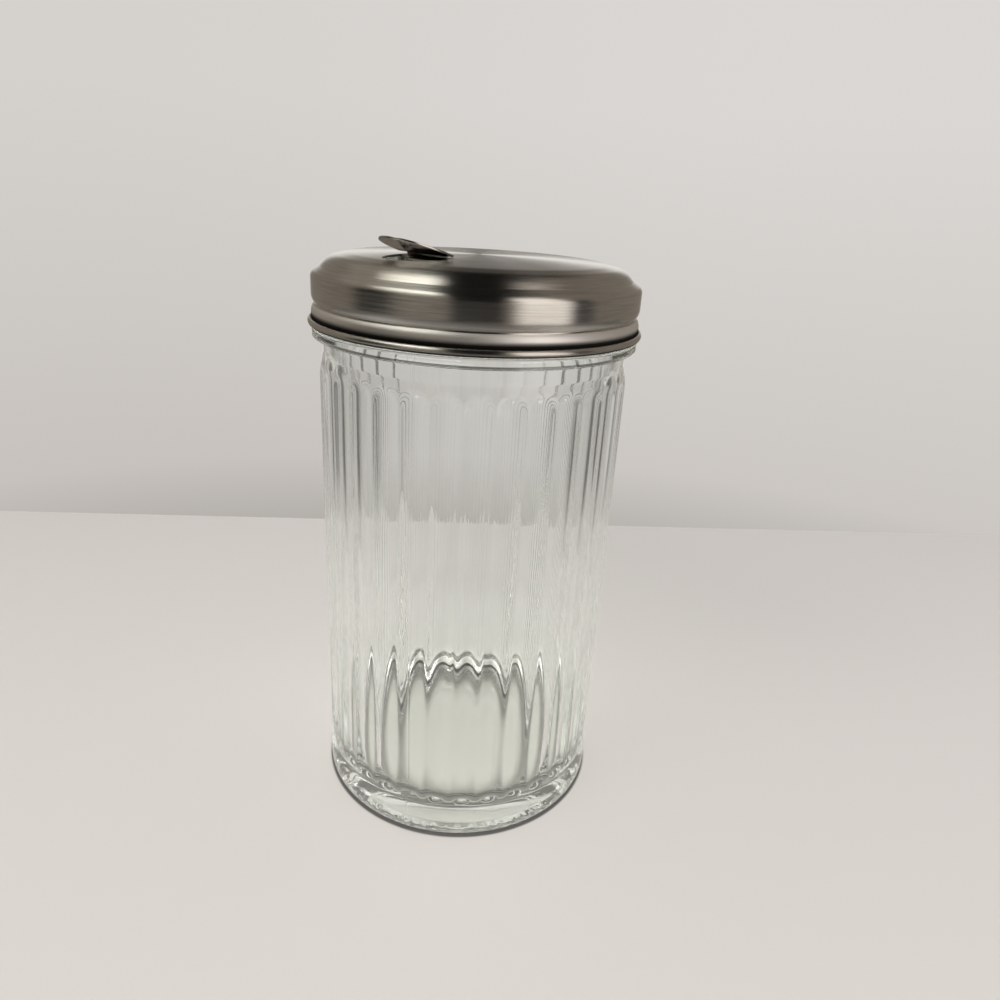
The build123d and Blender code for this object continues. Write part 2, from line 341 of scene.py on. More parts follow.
def build_jar():
    """The fluted jar, one closed skin from the pushed-up middle underneath to the floor inside."""
    outside = rounded([
        ((CONTACT_R, 0), 0),
        ((FOOT_R, 0), 1.8),
        ((FOOT_R, FOOT_HEIGHT), 2.5),
        ((WAIST_R, WAIST_HEIGHT), 3.0),
        ((BODY_R - BODY_DRAFT, BODY_START), 6.0),
        ((BODY_R, SHOULDER_START), 12.0),
        ((BAND_R, BAND_START), 0.3),
        ((BAND_R, COLLAR_START), 0.4),
        ((COLLAR_R, COLLAR_WIDEST), 0.4),
        ((COLLAR_R, COLLAR_TOP), 0.6),
        ((NECK_R, NECK_START), 0.5),
        ((NECK_R, SNAP_BEAD_HEIGHT - SNAP_BEAD_HALF), 0.5),
        ((SNAP_BEAD_R, SNAP_BEAD_HEIGHT), 0.6),
        ((LIP_R, SNAP_BEAD_HEIGHT + SNAP_BEAD_HALF), 0.5),
        ((LIP_R, LIP_HEIGHT), 1.2),
        ((BORE_R, LIP_HEIGHT), 1.2),
        ((BORE_R, FLOOR_HEIGHT), 6.0),
        ((0, FLOOR_HEIGHT), 0),
    ])

    def longest(point):
        if point.x < BORE_R - 4:
            return JAR_FLOOR_EDGE
        fine = any(low < point.y < high for low, high in JAR_FINE)
        return JAR_FINE_EDGE if fine and point.x >= BORE_R + 0.5 else JAR_EDGE

    outside = refined(outside, longest)
    dome_r = (CONTACT_R**2 + PUSH_UP**2) / (2 * PUSH_UP)
    dome = [Vector((r, PUSH_UP - dome_r + math.sqrt(dome_r**2 - r * r))) for r in UNDER_RINGS]
    rows = dome + outside
    angles = flute_angles()
    dice = random.Random(7)

    def place(i, j):
        r, z = rows[i].x, rows[i].y
        angle = angles[j]
        # The outer wall is fluted, the inner one uneven, and the ring under the foot rough
        if z > PUSH_UP and r > BAND_R - 0.6 and z < COLLAR_START + 1:
            r = flute_radius(r, z, angle) + seam_rise(angle)
        elif i >= len(dome) and r <= BORE_R + 1e-6 and z < LIP_HEIGHT - LIP_CLEAR:
            fade = min(1, (LIP_HEIGHT - LIP_CLEAR - z) / WAVES_FADE)
            r += wobble(z, angle) * fade * r / BORE_R
        if i >= len(dome) and z < 0.9 and r > CONTACT_R - 0.5:
            z += CONTACT_GRAIN * dice.random() ** 2
        return (r * math.cos(angle), r * math.sin(angle), z)

    piece = new_piece("jar_glass", lathe(rows, angles, place), "jar", "jar_glass", "glass_jar")
    piece.data.materials.append(glass_material())


# ---------------------------------------------------------------- lid


def flap_point(along, across, height):
    """Row-frame point from a distance out along the flap, one across it to its left, and a height."""
    a = math.radians(FLAP_AZIMUTH)
    return Vector((
        along * math.cos(a) - across * math.sin(a),
        along * math.sin(a) + across * math.cos(a),
        height,
    ))


def prism(outline, low, high):
    """A bmesh of an upright prism: an outline of row-frame points, each moved to two offsets."""
    bm = bmesh.new()
    floor = [bm.verts.new(point + low) for point in outline]
    roof = [bm.verts.new(point + high) for point in outline]
    bm.faces.new(floor)
    bm.faces.new(roof)
    for i in range(len(outline)):
        k = (i + 1) % len(outline)
        bm.faces.new((floor[i], floor[k], roof[k], roof[i]))
    bmesh.ops.recalc_face_normals(bm, faces=bm.faces[:])
    return bm


def hole_outline():
    """The pour hole seen from above, as row-frame points at height 0."""
    corners = [
        ((HOLE_SIDE_END, HOLE_HALF_WIDTH), 0),
        ((HOLE_INNER, HOLE_HALF_WIDTH), HOLE_CORNER),
        ((HOLE_INNER, -HOLE_HALF_WIDTH), HOLE_CORNER),
        ((HOLE_SIDE_END, -HOLE_HALF_WIDTH), 0),
    ]
    points = rounded(corners)
    points += half_ellipse(HOLE_SIDE_END, HOLE_REACH - HOLE_SIDE_END, HOLE_HALF_WIDTH, 40)
    return [flap_point(p.x, p.y, 0) for p in points]


def vent_outline():
    """Ring of the vent hole's edge, square to its tilted axis, and the direction of that axis."""
    a, tilt = math.radians(VENT_AZIMUTH), math.radians(VENT_TILT)
    out = Vector((math.cos(a), math.sin(a), 0))
    across = Vector((-out.y, out.x, 0))
    axis = out * math.sin(tilt) + Vector((0, 0, math.cos(tilt)))
    up = axis.cross(across)
    centre = out * VENT_REACH + Vector((0, 0, VENT_HEIGHT))
    ring = []
    steps = 48
    for i in range(steps):
        t = 2 * math.pi * i / steps
        ring.append(centre + VENT_R * (across * math.cos(t) + up * math.sin(t)))
    return ring, axis


def add_ears(bm):
    """The two bored ears folded down beside the pour hole, as closed plates."""
    drop = TOP_HEIGHT - PIN_HEIGHT
    steps = 24
    square = 1.6  # how far the round of the upper half is pushed out into square shoulders
    outer, bore = [], []
    for i in range(steps):
        t = math.pi * (0.5 + 2 * i / steps)
        wide = EAR_HALF_WIDTH * math.cos(t)
        tall = EAR_HALF_WIDTH * math.sin(t)
        if math.sin(t) > 0:
            wide = EAR_HALF_WIDTH * max(-1, min(1, math.cos(t) * square))
            tall = drop * min(1, math.sin(t) * square)
        outer.append((wide, tall))
        bore.append((EAR_BORE_R * math.cos(t), EAR_BORE_R * math.sin(t)))
    for side in (-1, 1):
        faces = []
        for across in (side * EAR_INNER, side * (EAR_INNER + EAR_THICKNESS)):
            rings = []
            for ring in (outer, bore):
                rings.append([
                    bm.verts.new(flap_point(HINGE_REACH + x, across, PIN_HEIGHT + y)) for x, y in ring
                ])
            faces.append(rings)
        (rim_a, bore_a), (rim_b, bore_b) = faces
        for i in range(steps):
            k = (i + 1) % steps
            bm.faces.new((rim_a[i], rim_a[k], bore_a[k], bore_a[i]))
            bm.faces.new((rim_b[i], bore_b[i], bore_b[k], rim_b[k]))
            bm.faces.new((rim_a[i], rim_b[i], rim_b[k], rim_a[k]))
            bm.faces.new((bore_a[i], bore_a[k], bore_b[k], bore_b[i]))


def build_lid():
    """The stamped lid: one sheet from its crown to the curl, with its two holes and its ears."""
    middle = rounded([
        ((0, TOP_HEIGHT), 0),
        ((CROWN_R, TOP_HEIGHT), 280.0),
        ((DOME_R, DOME_HEIGHT), 10.0),
        ((KNEE_R, KNEE_HEIGHT), 5.0),
        ((LEDGE_R, LEDGE_HEIGHT), 0.4),
        ((LID_BAND_R, LID_BAND_TOP), 1.5),
        ((LID_BAND_R, LID_BAND_BOTTOM), 3.0),
        ((GROOVE_R, GROOVE_HEIGHT), 0.6),
        ((BEAD_R, BEAD_TOP), 2.2),
        ((BEAD_R, BEAD_BOTTOM), 2.2),
        ((SKIRT_R, SKIRT_TOP), 0.6),
        ((SKIRT_R, CURL_HEIGHT), 0),
    ], step=4.0)
    for i in range(1, CURL_STEPS + 1):
        a = math.pi + math.radians(CURL_SWEEP) * i / CURL_STEPS
        middle.append(Vector((
            SKIRT_R + CURL_R + CURL_R * math.cos(a), CURL_HEIGHT + CURL_R * math.sin(a)
        )))
    middle = refined(middle, lambda point: LID_FINE_EDGE if point.x > DOME_R - 2 else LID_EDGE)
    upper = offset_line(middle, HALF_SHEET)
    under = offset_line(middle, -HALF_SHEET)
    upper[0].x = under[0].x = 0
    rows = upper + under[::-1]
    angles = [2 * math.pi * j / LID_COLUMNS for j in range(LID_COLUMNS)]

    def place(i, j):
        r, z = rows[i].x, rows[i].y
        return (r * math.cos(angles[j]), r * math.sin(angles[j]), z)

    piece = new_piece("lid_sheet", lathe(rows, angles, place), "lid", "lid_steel", "lid_shell")
    ring, axis = vent_outline()
    cutters = []
    for name, bm in (
        ("hole_cutter", prism(
            hole_outline(), Vector((0, 0, LID_TOP - CUT_REACH)), Vector((0, 0, LID_TOP + CUT_REACH))
        )),
        ("vent_cutter", prism(ring, -CUT_REACH * axis, CUT_REACH * axis)),
    ):
        cutters.append(add_object(name, mesh_from(name, bm)))
    for tool in cutters:
        take = piece.modifiers.new(tool.name, "BOOLEAN")
        take.operation = "DIFFERENCE"
        take.solver = "EXACT"
        take.object = tool
    bpy.context.view_layer.update()
    cut = bpy.data.meshes.new_from_object(piece.evaluated_get(bpy.context.evaluated_depsgraph_get()))
    piece.modifiers.clear()
    piece.data = cut
    for tool in cutters:
        bpy.data.objects.remove(tool)
    cut.set_sharp_from_angle(angle=LID_SHARP)
    steel = lid_material()
    piece.data.materials.append(steel)
    ears = bmesh.new()
    add_ears(ears)
    ears_piece = new_piece("hinge_ears", ears, "lid", "lid_steel")
    ears_piece.data.set_sharp_from_angle(angle=LID_SHARP)
    ears_piece.data.materials.append(steel)


# ---------------------------------------------------------------- pour flap


def leaf_point(along, across, rise):
    """Row-frame point of the flap at rest, from a distance along the leaf, across it and off it."""
    tilt = math.radians(REST_ANGLE)
    level = HINGE_REACH + along * math.cos(tilt) - rise * math.sin(tilt)
    return flap_point(level, across, PIN_HEIGHT + along * math.sin(tilt) + rise * math.cos(tilt))


def inset(outline, distance):
    """A closed anticlockwise outline moved inwards by a distance."""
    moved = []
    count = len(outline)
    for i, point in enumerate(outline):
        along = (outline[(i + 1) % count] - outline[i - 1]).normalized()
        moved.append(point + Vector((-along.y, along.x)) * distance)
    return moved


def bridge(bm, ring_a, ring_b):
    """Faces between two rings of the same length."""
    for i in range(len(ring_a)):
        k = (i + 1) % len(ring_a)
        bm.faces.new((ring_a[i], ring_a[k], ring_b[k], ring_b[i]))


def add_leaf(bm):
    """The wide leaf with an elliptical end and rolled-off edges."""
    outline = rounded([
        ((LEAF_LENGTH - LEAF_END, LEAF_HALF_WIDTH), 0),
        ((LEAF_START, LEAF_HALF_WIDTH), LEAF_CORNER),
        ((LEAF_START, -LEAF_HALF_WIDTH), LEAF_CORNER),
        ((LEAF_LENGTH - LEAF_END, -LEAF_HALF_WIDTH), 0),
    ])
    outline += half_ellipse(LEAF_LENGTH - LEAF_END, LEAF_END, LEAF_HALF_WIDTH, 64)
    low, high = LEAF_BOTTOM, LEAF_BOTTOM + LEAF_SHEET
    edge = 0.12
    rows = [(4 * edge, low)]
    for i in range(4):
        a = math.pi / 2 * i / 3
        rows.append((edge * (1 - math.sin(a)), low + edge * (1 - math.cos(a))))
    rows += [(back, high + low - rise) for back, rise in reversed(rows)]
    rings = []
    for back, rise in rows:
        rings.append([bm.verts.new(leaf_point(p.x, p.y, rise)) for p in inset(outline, back)])
    for ring_a, ring_b in zip(rings, rings[1:]):
        bridge(bm, ring_a, ring_b)
    bm.faces.new(rings[0])
    bm.faces.new(rings[-1])


def add_knuckle(bm):
    """The root strip, rolled round the pin at its inner end."""
    middle = []
    steps = 40
    for i in range(steps):
        a = math.radians(90 + KNUCKLE_WRAP * (1 - i / steps))
        middle.append(Vector((KNUCKLE_MID_R * math.cos(a), KNUCKLE_MID_R * math.sin(a))))
    leaf_mid = LEAF_BOTTOM + LEAF_SHEET / 2
    middle += rounded([
        ((0, KNUCKLE_MID_R), 0),
        ((JOGGLE_START, KNUCKLE_MID_R), JOGGLE_ROUND),
        ((JOGGLE_END, leaf_mid), JOGGLE_ROUND),
        ((ROOT_END, leaf_mid), 0),
    ])
    half, edge = LEAF_SHEET / 2, 0.1
    section = rounded([
        ((0, half), 0),
        ((KNUCKLE_HALF, half), edge), ((KNUCKLE_HALF, -half), edge),
        ((-KNUCKLE_HALF, -half), edge), ((-KNUCKLE_HALF, half), edge),
        ((0, half), 0),
    ], step=30)[:-1]
    rings = []
    for i, point in enumerate(middle):
        along = (middle[min(i + 1, len(middle) - 1)] - middle[max(i - 1, 0)]).normalized()
        rings.append([
            bm.verts.new(leaf_point(point.x - along.y * off.y, off.x, point.y + along.x * off.y))
            for off in section
        ])
    for ring_a, ring_b in zip(rings, rings[1:]):
        bridge(bm, ring_a, ring_b)
    bm.faces.new(rings[0])
    bm.faces.new(rings[-1])


def build_flap():
    """The flap: its leaf and the knuckle that turns on the pin."""
    bm = bmesh.new()
    add_leaf(bm)
    add_knuckle(bm)
    piece = new_piece("flap_leaf", bm, "flap", "flap_steel", "pour_flap")
    piece.data.set_sharp_from_angle(angle=FLAP_SHARP)
    piece.data.materials.append(flap_material())


# ---------------------------------------------------------------- materials

# Glass
GLASS_IOR = 1.51
GLASS_TINT = (0.985, 1.0, 0.99, 1)
GLASS_RING_SHADE = (0.26, 0.265, 0.25, 1)  # painted shade, lowest, where the jar stands on its ring
GLASS_CREASE_SHADE = (0.06, 0.06, 0.055, 1)  # painted shade, dark in the crease under the collar
GLASS_RING_TOP = (0.5, 1.6)  # heights between which the ring's painted shade runs out
GLASS_SHADOW = (0.93, 0.94, 0.93, 1)  # what the glass lets through to the table
GLASS_DEPTH_COLOR = (0.72, 0.78, 0.70, 1)
GLASS_DENSITY = 4.5
GLASS_WAVES = (90, 1.5)  # a noise's scale and detail, like the others below
GLASS_BUMP = (0.00012, 0.35)  # distance in metres and strength, like the others below

# Lid
BRUSHED_DARK, BRUSHED_PALE = (0.50, 0.485, 0.445, 1), (0.62, 0.61, 0.57, 1)
BLOTCH_COLOR = (0.46, 0.40, 0.345, 1)
# Painted highlight: the bead is paler than the sheet so that its highlight shows brighter
BEAD_HIGHLIGHT_COLOR = (0.88, 0.86, 0.82, 1)
# Painted shade around the curl and under the bead
CREVICE_SHADE_COLOR = (0.03, 0.028, 0.025, 1)
BRUSHED_ROUGHNESS = (0.22, 0.27)
CREVICE_ROUGHNESS = 0.3  # added where shade is painted
BEAD_ROUGHNESS = 0.2  # added
BRUSHED_ANISOTROPY, BEAD_ANISOTROPY = 0.95, 0.2
BRUSHED_ROTATION, BEAD_ROTATION = 0.25, 0.0
BRUSH_GRAIN, BRUSH_BANDS = 900.0, 120.0  # per metre across the sheet, times the noise's scale
GRAIN_NOISE = (4.0, 3.0, 0.65)
BANDS_NOISE = (3.0, 2.0)
BLOTCH_NOISE = (55.0, 3.0, 0.55)
BEAD_RIBS = 520.0  # round the lid
RIBS_RELIEF, BANDS_RELIEF = 0.35, 2.0  # against the grain's 1
BRUSHED_BUMP = (0.00001, 0.5)

# Pin and flap
PIN_COLOR = (0.56, 0.54, 0.52, 1)
PIN_ROUGHNESS = 0.3
FLAP_PALE, FLAP_DARK = (0.60, 0.57, 0.53, 1), (0.52, 0.49, 0.45, 1)
# Painted shade on the flap's underside
FLAP_UNDERSIDE_SHADE = (0.02, 0.018, 0.015, 1)
FLAP_ROUGHNESS = (0.05, 0.16)
FLAP_BLOTCH_NOISE = (160.0, 3.0, 0.55)
FLAP_GAPS_NOISE = (330.0, 1.0)
FLAP_WAVES = (120.0, 1.0)
FLAP_BUMP = (0.00005, 0.25)


def material(name):
    """A new node material: itself, its nodes, its links and its Principled node."""
    mat = bpy.data.materials.new(name)
    mat.use_nodes = True
    nodes, links = mat.node_tree.nodes, mat.node_tree.links
    return mat, nodes, links, nodes["Principled BSDF"]


def math_node(nodes, links, operation, *values):
    """A math node over sockets and numbers; its output socket."""
    node = nodes.new("ShaderNodeMath")
    node.operation = operation
    for i, value in enumerate(values):
        if isinstance(value, (int, float)):
            node.inputs[i].default_value = value
        else:
            links.new(value, node.inputs[i])
    return node.outputs[0]


def ramp(nodes, links, value, low, high, low_out=0.0, high_out=1.0):
    """A socket mapped smoothly from low..high to low_out..high_out."""
    node = nodes.new("ShaderNodeMapRange")
    node.interpolation_type = "SMOOTHSTEP"
    links.new(value, node.inputs["Value"])
    node.inputs["From Min"].default_value = low
    node.inputs["From Max"].default_value = high
    node.inputs["To Min"].default_value = low_out
    node.inputs["To Max"].default_value = high_out
    return node.outputs["Result"]


def window_between(nodes, links, value, low, high, soft):
    """1 where a socket lies between low and high, falling to 0 over soft on either side."""
    up = ramp(nodes, links, value, low - soft, low)
    down = ramp(nodes, links, value, high, high + soft, 1.0, 0.0)
    return math_node(nodes, links, "MULTIPLY", up, down)


def mix_color(nodes, links, factor, first, second, blend="MIX"):
    """A colour mix node over sockets and colours; its output socket."""
    node = nodes.new("ShaderNodeMix")
    node.data_type = "RGBA"
    node.blend_type = blend
    for socket, value in ((node.inputs[0], factor), (node.inputs[6], first), (node.inputs[7], second)):
        if isinstance(value, (int, float, tuple)):
            socket.default_value = value
        else:
            links.new(value, socket)
    return node.outputs[2]


def noise(nodes, links, vector, scale, detail=2.0, roughness=0.5):
    """A noise texture's factor over a vector socket."""
    node = nodes.new("ShaderNodeTexNoise")
    node.inputs["Scale"].default_value = scale
    node.inputs["Detail"].default_value = detail
    node.inputs["Roughness"].default_value = roughness
    links.new(vector, node.inputs["Vector"])
    return node.outputs["Fac"]


def coordinates(nodes, links, kind):
    """A texture coordinate's vector socket, then its x, y and z sockets."""
    vector = nodes.new("ShaderNodeTexCoord").outputs[kind]
    split = nodes.new("ShaderNodeSeparateXYZ")
    links.new(vector, split.inputs[0])
    return vector, *split.outputs


def add_bump(nodes, links, shader, height, distance, strength):
    """A bump in a shader's normal, from a height socket."""
    bump = nodes.new("ShaderNodeBump")
    bump.inputs["Distance"].default_value = distance
    bump.inputs["Strength"].default_value = strength
    links.new(height, bump.inputs["Height"])
    links.new(bump.outputs["Normal"], shader.inputs["Normal"])


def mix_shaders(nodes, links, factor, first, second, target):
    """Two shader sockets mixed by a factor socket, linked to a target socket."""
    mix = nodes.new("ShaderNodeMixShader")
    links.new(factor, mix.inputs["Fac"])
    links.new(first, mix.inputs[1])
    links.new(second, mix.inputs[2])
    links.new(mix.outputs["Shader"], target)


def mirror_rays(nodes, links, path):
    """1 on reflections alone: glass marks its refracted rays as glossy too, and these are out."""
    return math_node(nodes, links, "MAXIMUM", math_node(
        nodes, links, "SUBTRACT", path.outputs["Is Glossy Ray"], path.outputs["Is Transmission Ray"]
    ), 0.0)


def brush_lines(nodes, links, angle, across, lines):
    """Coordinates for a noise that runs round the axis in lines."""
    turned = nodes.new("ShaderNodeCombineXYZ")
    links.new(math_node(nodes, links, "COSINE", angle), turned.inputs[0])
    links.new(math_node(nodes, links, "SINE", angle), turned.inputs[1])
    links.new(math_node(nodes, links, "MULTIPLY", across, lines), turned.inputs[2])
    return turned.outputs[0]


def glass_material():
    """Clear pressed glass, grey-green in its depth, a little uneven outside; light passes it. Shade is
    painted dark into it where it stands and in the crease under the collar.
    """
    mat, nodes, links, glass = material("pressed_glass")
    glass.inputs["Roughness"].default_value = 0.0
    glass.inputs["IOR"].default_value = GLASS_IOR
    glass.inputs["Transmission Weight"].default_value = 1.0
    place, _, _, z = coordinates(nodes, links, "Object")
    low, high = GLASS_RING_TOP
    # Painted shade: the glass is darker lowest, where the jar stands, and dark in the crease under the
    # collar
    tint_and_shade = mix_color(
        nodes, links, ramp(nodes, links, z, low * MM, high * MM), GLASS_RING_SHADE, GLASS_TINT
    )
    # Painted shade in the crease under the collar
    crease_shade = window_between(
        nodes, links, z, (COLLAR_START - 0.1) * MM, COLLAR_WIDEST * MM, 0.15 * MM
    )
    tint_and_shade = mix_color(nodes, links, crease_shade, tint_and_shade, GLASS_CREASE_SHADE)
    links.new(tint_and_shade, glass.inputs["Base Color"])
    add_bump(nodes, links, glass, noise(nodes, links, place, *GLASS_WAVES), *GLASS_BUMP)
    path = nodes.new("ShaderNodeLightPath")
    clear = nodes.new("ShaderNodeBsdfTransparent")
    clear.inputs["Color"].default_value = GLASS_SHADOW
    out = nodes["Material Output"]
    mix_shaders(
        nodes, links, path.outputs["Is Shadow Ray"],
        glass.outputs["BSDF"], clear.outputs["BSDF"], out.inputs["Surface"],
    )
    depth = nodes.new("ShaderNodeVolumeAbsorption")
    depth.inputs["Color"].default_value = GLASS_DEPTH_COLOR
    depth.inputs["Density"].default_value = GLASS_DENSITY
    links.new(depth.outputs["Volume"], out.inputs["Volume"])
    return mat


def lid_material():
    """Stainless sheet brushed round the axis, ribbed on its bead; the bead is painted paler as a
    highlight, and shade is painted dark around the curl and under the bead.
    """
    mat, nodes, links, steel = material("brushed_lid")
    place, x, y, z = coordinates(nodes, links, "Object")
    angle = math_node(nodes, links, "ARCTAN2", y, x)
    radius = math_node(nodes, links, "SQRT", math_node(
        nodes, links, "ADD",
        math_node(nodes, links, "MULTIPLY", x, x), math_node(nodes, links, "MULTIPLY", y, y),
    ))
    across = math_node(nodes, links, "SUBTRACT", radius, z)  # grows along the sheet everywhere
    grain = noise(
        nodes, links, brush_lines(nodes, links, angle, across, BRUSH_GRAIN), *GRAIN_NOISE
    )
    bands = noise(
        nodes, links, brush_lines(nodes, links, angle, across, BRUSH_BANDS), *BANDS_NOISE
    )
    blotch = noise(nodes, links, place, *BLOTCH_NOISE)

    tone = mix_color(
        nodes, links, ramp(nodes, links, grain, 0.3, 0.7), BRUSHED_DARK, BRUSHED_PALE
    )
    tone = mix_color(
        nodes, links, ramp(nodes, links, blotch, 0.42, 0.72, 0.0, 0.35), tone, BLOTCH_COLOR
    )

    # Painted shade: dark in the crease over the curl, on the bead's underside, and below the curl's
    # middle
    crease_shade = window_between(
        nodes, links, z, (CURL_HEIGHT - 0.1) * MM, (BEAD_BOTTOM + 0.1) * MM, 0.3 * MM
    )
    inner = ramp(nodes, links, radius, (SKIRT_R + 0.5) * MM, (SKIRT_R + 0.8) * MM, 1.0, 0.0)
    under = math_node(
        nodes, links, "MULTIPLY", ramp(nodes, links, z, CURL_HEIGHT * MM, SKIRT_TOP * MM),
        ramp(nodes, links, z, (BEAD_BOTTOM + 0.1) * MM, (BEAD_TOP - 0.1) * MM, 0.9, 0.0),
    )
    painted_shade = math_node(
        nodes, links, "MULTIPLY", inner, math_node(nodes, links, "MAXIMUM", crease_shade, under)
    )
    painted_shade = math_node(nodes, links, "MAXIMUM", painted_shade, ramp(
        nodes, links, z, (CURL_HEIGHT - 0.4) * MM, (CURL_HEIGHT - 0.15) * MM, 0.9, 0.0
    ))

    on_bead = window_between(
        nodes, links, z, (BEAD_BOTTOM - 0.5) * MM, (BEAD_TOP + 0.8) * MM, 0.3 * MM
    )
    # Painted highlight: the bead's steel is paler than the sheet, so that its highlight shows brighter
    tone = mix_color(nodes, links, on_bead, tone, BEAD_HIGHLIGHT_COLOR)
    tone = mix_color(nodes, links, painted_shade, tone, CREVICE_SHADE_COLOR)
    links.new(tone, steel.inputs["Base Color"])
    steel.inputs["Metallic"].default_value = 1.0
    rough = math_node(
        nodes, links, "ADD", ramp(nodes, links, grain, 0.25, 0.75, *BRUSHED_ROUGHNESS),
        ramp(nodes, links, painted_shade, 0.0, 1.0, 0.0, CREVICE_ROUGHNESS),
    )
    rough = math_node(nodes, links, "ADD", rough, math_node(
        nodes, links, "MULTIPLY", on_bead, BEAD_ROUGHNESS
    ))
    links.new(rough, steel.inputs["Roughness"])
    links.new(
        ramp(nodes, links, on_bead, 0.2, 0.8, BRUSHED_ANISOTROPY, BEAD_ANISOTROPY),
        steel.inputs["Anisotropic"],
    )
    links.new(
        ramp(nodes, links, on_bead, 0.4, 0.6, BRUSHED_ROTATION, BEAD_ROTATION),
        steel.inputs["Anisotropic Rotation"],
    )
    tangent = nodes.new("ShaderNodeTangent")
    tangent.direction_type = "RADIAL"
    tangent.axis = "Z"
    links.new(tangent.outputs["Tangent"], steel.inputs["Tangent"])

    rib = math_node(nodes, links, "SINE", math_node(nodes, links, "MULTIPLY", angle, BEAD_RIBS))
    ribs = math_node(nodes, links, "MULTIPLY", rib, on_bead)
    height = math_node(
        nodes, links, "ADD", grain, math_node(nodes, links, "MULTIPLY", ribs, RIBS_RELIEF)
    )
    height = math_node(
        nodes, links, "ADD", height, math_node(nodes, links, "MULTIPLY", bands, BANDS_RELIEF)
    )
    add_bump(nodes, links, steel, height, *BRUSHED_BUMP)
    return mat


def pin_material():
    """Drawn stainless wire."""
    mat, _, _, steel = material("pin_wire")
    steel.inputs["Base Color"].default_value = PIN_COLOR
    steel.inputs["Metallic"].default_value = 1.0
    steel.inputs["Roughness"].default_value = PIN_ROUGHNESS
    return mat


def flap_material():
    """Bright rolled stainless, a little uneven; its underside is painted dark as shade up to a height,
    with gaps.
    """
    mat, nodes, links, steel = material("flap_sheet")
    place, _, _, z = coordinates(nodes, links, "Object")
    _, _, _, facing = coordinates(nodes, links, "Normal")
    blotch = noise(nodes, links, place, *FLAP_BLOTCH_NOISE)
    tone = mix_color(nodes, links, ramp(nodes, links, blotch, 0.35, 0.7), FLAP_PALE, FLAP_DARK)
    gaps = noise(nodes, links, place, *FLAP_GAPS_NOISE)
    # Painted shade: the underside dark up to a height, with gaps
    underside_shade = math_node(
        nodes, links, "MULTIPLY", ramp(nodes, links, facing, -0.6, -0.3, 1.0, 0.0),
        math_node(
            nodes, links, "MULTIPLY", ramp(nodes, links, gaps, 0.30, 0.36),
            ramp(nodes, links, z, UNDERSIDE_SHADE_HEIGHT * MM, (UNDERSIDE_SHADE_HEIGHT + 0.5) * MM, 1.0, 0.0),
        ),
    )
    tone = mix_color(nodes, links, underside_shade, tone, FLAP_UNDERSIDE_SHADE)
    links.new(tone, steel.inputs["Base Color"])
    steel.inputs["Metallic"].default_value = 1.0
    links.new(ramp(nodes, links, blotch, 0.3, 0.8, *FLAP_ROUGHNESS), steel.inputs["Roughness"])
    add_bump(nodes, links, steel, noise(nodes, links, place, *FLAP_WAVES), *FLAP_BUMP)
    return mat


def dress_cad_node(name, mat):
    """A CAD node that keeps its mesh gets a material."""
    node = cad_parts[name]
    node.data.materials.clear()
    node.data.materials.append(mat)


# ---------------------------------------------------------------- stage, light and camera

# Floor: the wall's distance is in millimetres, all else here in metres
WALL_DISTANCE = 157.4  # the floor ends here, behind the jar
WALL_SLOPE = 0.0402  # and farther back towards the right, by this part of the way there
FLOOR_WIDE, FLOOR_NEAR = 4.0, -4.0
FLOOR_COLOR = (0.70, 0.68, 0.655, 1)
FLOOR_SHADOW_COLOR = (0.14, 0.135, 0.13, 1)  # painted shadow of whoever leans over the table, seen by all but the camera
FLOOR_PALE_Y, FLOOR_DARK_Y = -0.035, -0.165
FLOOR_FAR_COLOR = (0.45, 0.44, 0.42, 1)  # painted shade: darker in front under the lamps, where the pale would clip
FLOOR_DIM_Y, FLOOR_FAR_Y = -0.09, -0.85
FLOOR_SIDE = (0.13, 0.27)  # to either side, where the table's light runs out, but for the camera
TABLE_REACH, TABLE_BLUR = 0.35, 0.15  # reflections see the room beyond it
GLASS_SEES = 0.7  # how much of the pale front glass shows, where steel mirrors a dark one
CONTACT_COLOR = (0.03, 0.03, 0.03, 1)
CONTACT_SHADE = 0.85  # the shadow under the foot's rounding, which light through glass loses


